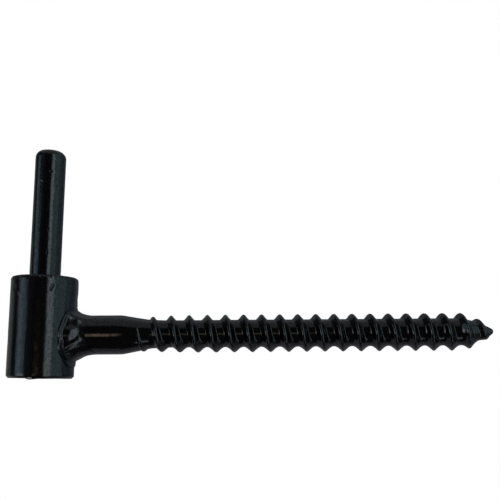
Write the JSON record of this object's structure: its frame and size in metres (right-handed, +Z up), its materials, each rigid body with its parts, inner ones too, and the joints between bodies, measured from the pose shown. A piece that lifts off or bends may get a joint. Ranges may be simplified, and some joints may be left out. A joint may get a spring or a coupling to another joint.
{
  "type": "lag screw pintle",
  "caption": "Hinge pintle: a round upright pin in a short barrel, with a coarse-threaded lag screw welded to the barrel's side for driving into a wooden post.",
  "frame": {"origin": "on the pin's axis at its shoulder, which is the barrel's top face, where a hinge eye comes to rest", "axes": "+Z up along the pin, +X the way the lag screw leaves the barrel, the screw climbing 1.3 degrees towards its point"},
  "size_m": [0.1204, 0.0164, 0.0576],
  "materials": {
    "black_coating": "glossy black electrocoat over steel",
    "coated_weld": "glossy black coat over a lumpy weld",
    "worn_weld": "black coat worn through to bare steel in one spot"
  },
  "bodies": {
    "root": {"barrel": "black_coating", "pintle_pin": "black_coating", "plug_weld": "worn_weld", "lag_screw": "black_coating", "weld_bead": "coated_weld"}
  },
  "joints": []
}
